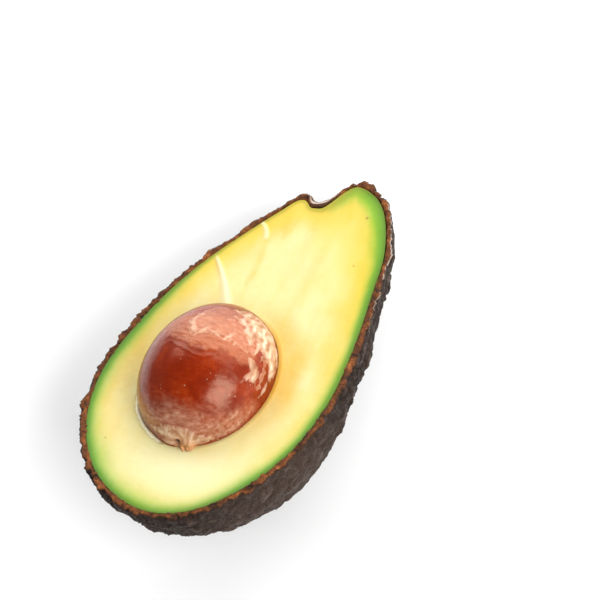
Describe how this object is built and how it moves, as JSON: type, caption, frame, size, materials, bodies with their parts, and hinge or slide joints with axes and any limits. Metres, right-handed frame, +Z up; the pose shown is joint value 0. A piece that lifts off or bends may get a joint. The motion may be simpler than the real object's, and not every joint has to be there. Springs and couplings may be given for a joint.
{
  "type": "halved avocado with its seed",
  "caption": "Half of a fresh avocado, cut lengthwise, lying on its rounded back with the cut face up and its seed still in place.",
  "frame": {"origin": "on the surface that the half rests on, under the middle of its bounding box", "axes": "+Z up, towards the cut face; +Y from the blossom end towards the neck and its stem pit; X across the fruit"},
  "size_m": [0.0636, 0.1016, 0.0499],
  "materials": {
    "skin": "satin",
    "flesh": "satin",
    "seed": "gloss"
  },
  "bodies": {
    "root": {"skin": "skin", "flesh": "flesh", "seed": "seed"}
  },
  "joints": []
}
